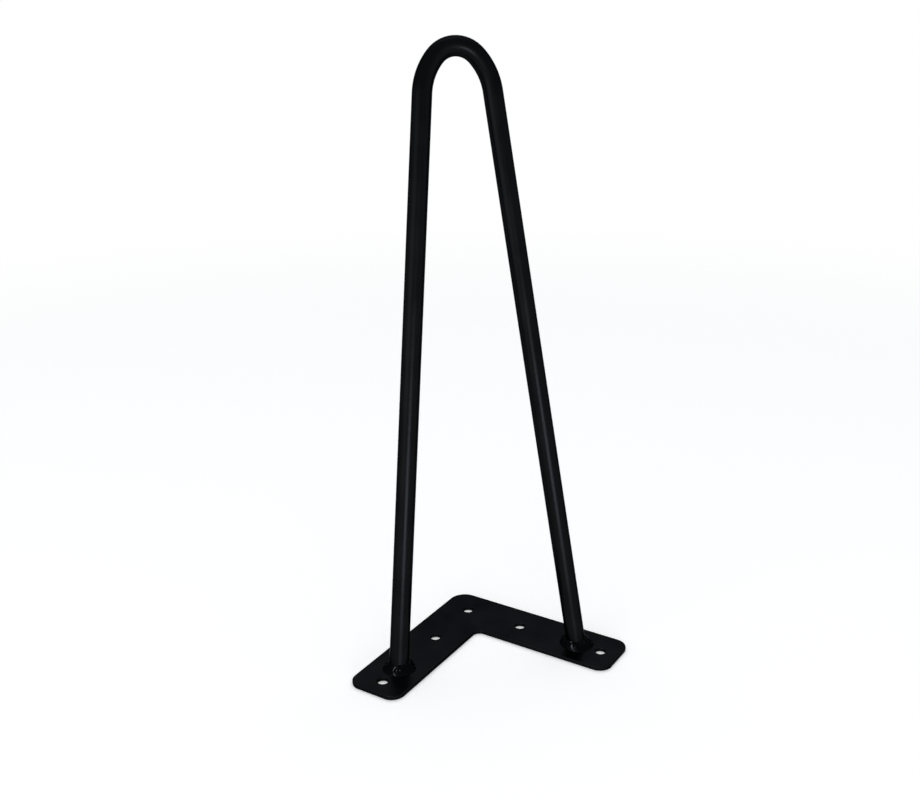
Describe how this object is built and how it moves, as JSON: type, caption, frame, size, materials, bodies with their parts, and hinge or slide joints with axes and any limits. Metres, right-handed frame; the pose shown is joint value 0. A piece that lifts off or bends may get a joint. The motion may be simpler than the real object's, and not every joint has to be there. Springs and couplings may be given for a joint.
{
  "type": "u-shaped metal furniture leg",
  "caption": "U-shaped furniture leg: a round steel rod bent into a narrow hairpin and welded to an L-shaped screw plate, coated satin black.",
  "frame": {"origin": "centre of the corner screw hole, on the plate's mounting face", "axes": "+Z from the plate to the bend, +Y to the plate's outer corner, X across the hairpin, which is symmetrical about X = 0"},
  "size_m": [0.1442, 0.0954, 0.306],
  "materials": {
    "black_coat": "satin black powder coat on steel"
  },
  "bodies": {
    "root": {"mounting_plate": "black_coat", "hairpin_rod": "black_coat", "weld_bead_left": "black_coat", "weld_bead_right": "black_coat"}
  },
  "joints": []
}
